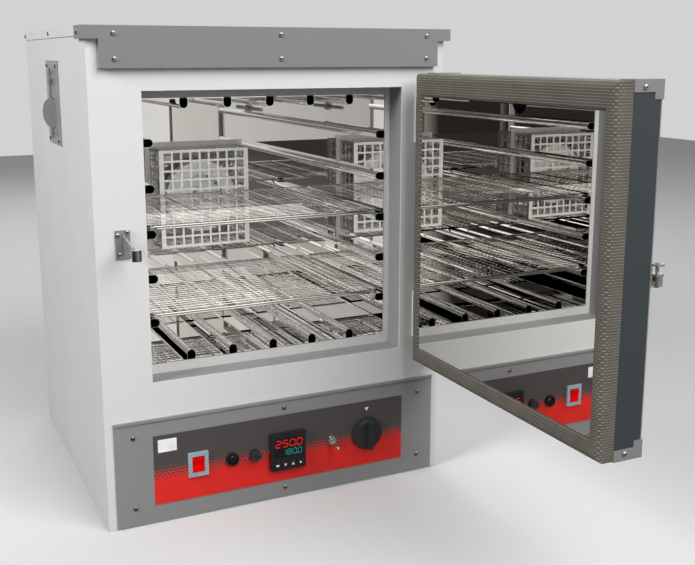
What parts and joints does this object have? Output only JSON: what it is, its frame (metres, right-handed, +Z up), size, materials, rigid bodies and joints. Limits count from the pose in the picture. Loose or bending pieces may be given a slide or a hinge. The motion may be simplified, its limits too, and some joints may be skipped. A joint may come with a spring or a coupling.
{
  "type": "hot air oven",
  "caption": "Bench hot air oven with a ribbed mirror-steel chamber, wire shelves, a caged fan, a side vent and a thick door standing open above a red and grey control panel",
  "frame": {"origin": "middle of the cabinet's footprint on the bench", "axes": "+X to the right seen from the front, +Y to the rear, +Z up"},
  "size_m": [0.544, 0.938, 0.655],
  "materials": {
    "white_paint": "satin",
    "grey_paint": "satin",
    "printed_label": "satin",
    "polished_steel": "polished",
    "stainless_steel": "brushed",
    "galvanised_steel": "matte",
    "chrome_wire": "polished",
    "slate_paint": "satin",
    "mineral_wool": "matte",
    "woven_gasket": "matte",
    "heater_sheath": "matte",
    "black_plastic": "matte",
    "grey_plastic": "satin",
    "red_plastic": "gloss",
    "dark_lens": "gloss",
    "motor_casing": "satin",
    "ceramic_body": "matte"
  },
  "bodies": {
    "cabinet": {"base_pan": "white_paint", "left_side_panel": "white_paint", "right_side_panel": "white_paint", "rear_panel": "white_paint", "top_lid": "white_paint", "front_frame": "white_paint", "compartment_deck": "galvanised_steel", "top_trim": "grey_paint", "control_panel": "grey_paint", "label_plate": "printed_label", "chamber_liner": "polished_steel", "chamber_back": "polished_steel", "chamber_flange": "polished_steel", "insulation": "mineral_wool", "heater_rods": "heater_sheath", "rear_bulkhead": "galvanised_steel", "fan_guard": "stainless_steel", "fan_motor": "motor_casing", "temperature_probe": "stainless_steel", "vent_duct": "galvanised_steel", "vent_plate": "stainless_steel", "cabinet_screws": "chrome_wire", "keeper_plate": "chrome_wire", "keeper_striker": "chrome_wire", "top_hinge_bracket": "white_paint", "bottom_hinge_bracket": "white_paint", "hinge_pins": "stainless_steel", "switch_bezel": "grey_plastic", "lamp_bezel": "black_plastic", "lamp_lens": "dark_lens", "fuse_holder": "black_plastic", "controller_case": "black_plastic", "display_window": "dark_lens", "toggle_bush": "chrome_wire", "energy_regulator": "ceramic_body", "cable_gland": "black_plastic"},
    "door": {"door_skin": "grey_paint", "door_inner_panel": "polished_steel", "door_wool": "mineral_wool", "door_gasket": "woven_gasket", "door_edge_strips": "slate_paint", "door_corner_caps": "grey_paint", "hinge_leaves": "stainless_steel", "door_screws": "chrome_wire", "latch_bracket": "chrome_wire", "latch_pin": "chrome_wire"},
    "latch": {"latch_handle": "chrome_wire"},
    "upper_shelf_body": {"upper_shelf": "chrome_wire"},
    "lower_shelf_body": {"lower_shelf": "chrome_wire"},
    "fan": {"fan_impeller": "stainless_steel", "fan_shaft": "stainless_steel"},
    "damper": {"vent_damper": "stainless_steel"},
    "mains_rocker": {"rocker": "red_plastic"},
    "fan_toggle": {"toggle_lever": "chrome_wire"},
    "knob": {"energy_knob": "black_plastic"},
    "fuse_plug": {"fuse_cap": "black_plastic"},
    "key_a": {"key_1": "grey_plastic"},
    "key_b": {"key_2": "grey_plastic"},
    "key_c": {"key_3": "grey_plastic"},
    "key_d": {"key_4": "grey_plastic"}
  },
  "joints": [
    {"name": "door_hinge", "type": "hinge", "parent": "cabinet", "child": "door", "pos_m": [0.21, -0.262, 0.3895], "axis": [0, 0, 1], "range_deg": [-90, 15]},
    {"name": "latch_pivot", "type": "hinge", "parent": "door", "child": "latch", "pos_m": [0.2565, -0.676, 0.3825], "axis": [0, 0, -1], "range_deg": [0, 60]},
    {"name": "upper_shelf_slide", "type": "slide", "parent": "cabinet", "child": "upper_shelf_body", "axis": [0, -1, 0], "range_m": [0, 0.28]},
    {"name": "lower_shelf_slide", "type": "slide", "parent": "cabinet", "child": "lower_shelf_body", "axis": [0, -1, 0], "range_m": [0, 0.28]},
    {"name": "fan_spin", "type": "hinge", "parent": "cabinet", "child": "fan", "pos_m": [0, 0.129, 0.388], "axis": [0, 1, 0], "continuous": true},
    {"name": "damper_turn", "type": "hinge", "parent": "cabinet", "child": "damper", "pos_m": [-0.2546, 0.001, 0.5385], "axis": [0, 0, 1], "range_deg": [-25, 65]},
    {"name": "mains_rocker_tilt", "type": "hinge", "parent": "cabinet", "child": "mains_rocker", "pos_m": [-0.127, -0.2368, 0.075], "axis": [-1, 0, 0], "range_deg": [0, 14]},
    {"name": "fan_toggle_tilt", "type": "hinge", "parent": "cabinet", "child": "fan_toggle", "pos_m": [0.072, -0.2433, 0.075], "axis": [-1, 0, 0], "range_deg": [0, 30]},
    {"name": "knob_turn", "type": "hinge", "parent": "cabinet", "child": "knob", "pos_m": [0.129, -0.2426, 0.0758], "axis": [0, 1, 0], "range_deg": [0, 300]},
    {"name": "fuse_cap_turn", "type": "hinge", "parent": "cabinet", "child": "fuse_plug", "pos_m": [-0.0455, -0.2468, 0.073], "axis": [0, -1, 0], "range_deg": [0, 60]},
    {"name": "key_a_press", "type": "slide", "parent": "cabinet", "child": "key_a", "axis": [0, 1, 0], "range_m": [0, 0.0008], "stiffness_N_per_m": 600},
    {"name": "key_b_press", "type": "slide", "parent": "cabinet", "child": "key_b", "axis": [0, 1, 0], "range_m": [0, 0.0008], "stiffness_N_per_m": 600},
    {"name": "key_c_press", "type": "slide", "parent": "cabinet", "child": "key_c", "axis": [0, 1, 0], "range_m": [0, 0.0008], "stiffness_N_per_m": 600},
    {"name": "key_d_press", "type": "slide", "parent": "cabinet", "child": "key_d", "axis": [0, 1, 0], "range_m": [0, 0.0008], "stiffness_N_per_m": 600}
  ]
}
